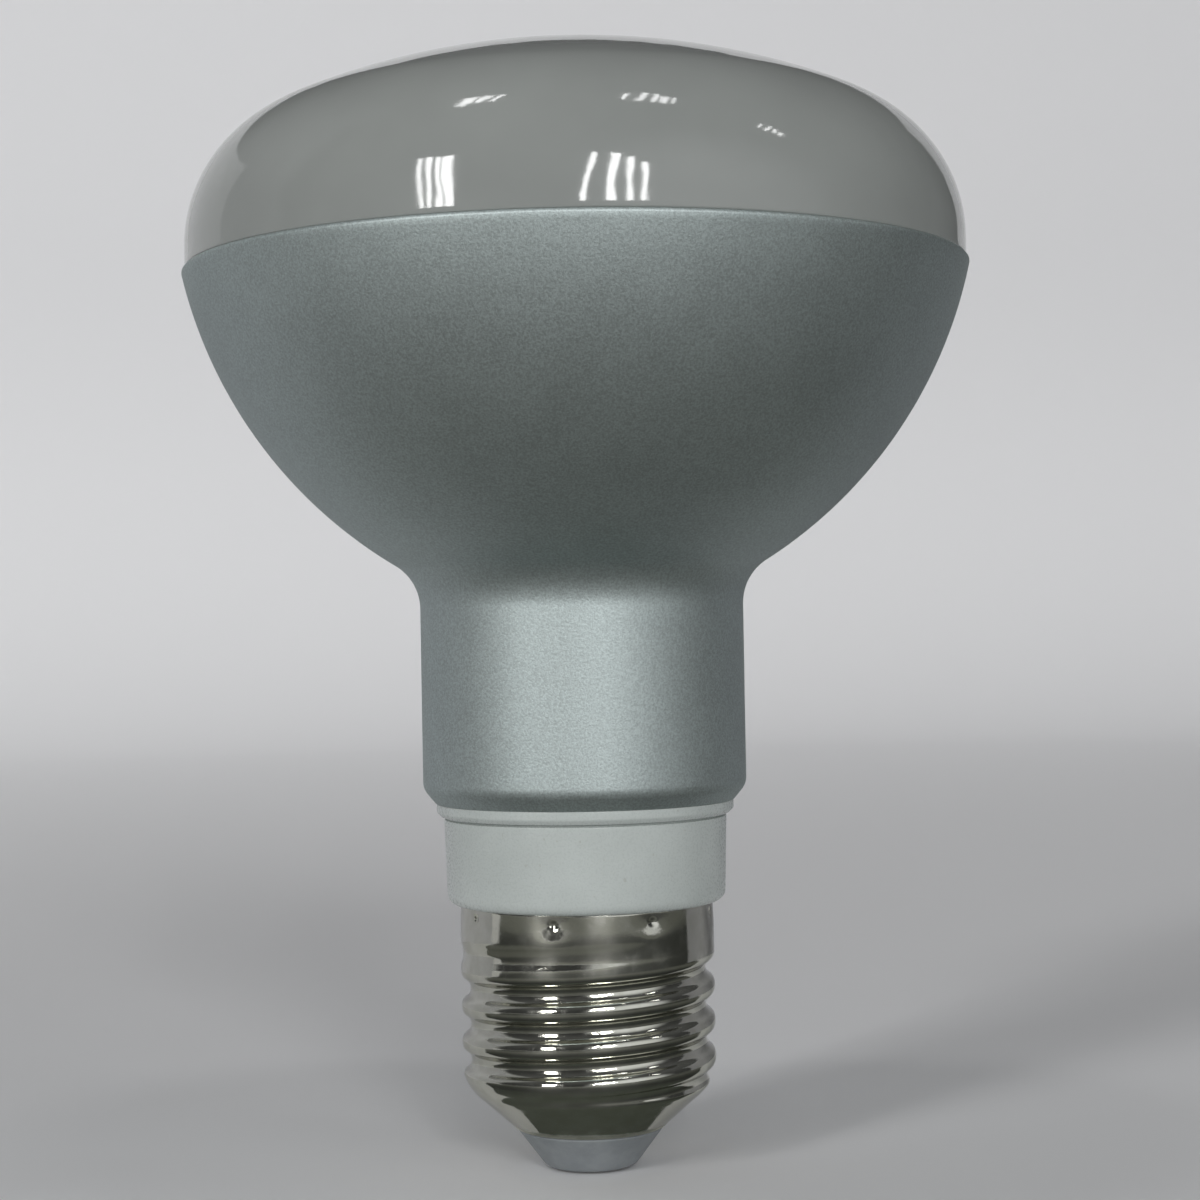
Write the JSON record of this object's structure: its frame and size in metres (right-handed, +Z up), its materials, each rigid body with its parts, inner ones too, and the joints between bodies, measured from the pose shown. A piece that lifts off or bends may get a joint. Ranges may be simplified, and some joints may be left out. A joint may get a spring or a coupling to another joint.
{
  "type": "reflector bulb",
  "caption": "Reflector bulb with a shallow opal front dome, a satin silver bowl and neck, a white collar and a nickel-plated screw cap.",
  "frame": {"origin": "foot of the centre contact, on the lamp's axis", "axes": "+Z up the lamp's axis, from the cap's contact to the crown of the front dome; the picture looks along +Y"},
  "size_m": [0.08, 0.08, 0.114],
  "materials": {
    "opal_plastic": "gloss opal, unlit",
    "silver_lacquer": "satin silver",
    "white_plastic": "semi-gloss white",
    "nickel_plate": "bright nickel plating",
    "grey_plastic": "matt light grey",
    "contact_metal": "plain plated"
  },
  "bodies": {
    "root": {"diffuser": "opal_plastic", "reflector_body": "silver_lacquer", "collar": "white_plastic", "screw_cap": "nickel_plate", "cap_insulator": "grey_plastic", "centre_contact": "contact_metal"}
  },
  "joints": []
}
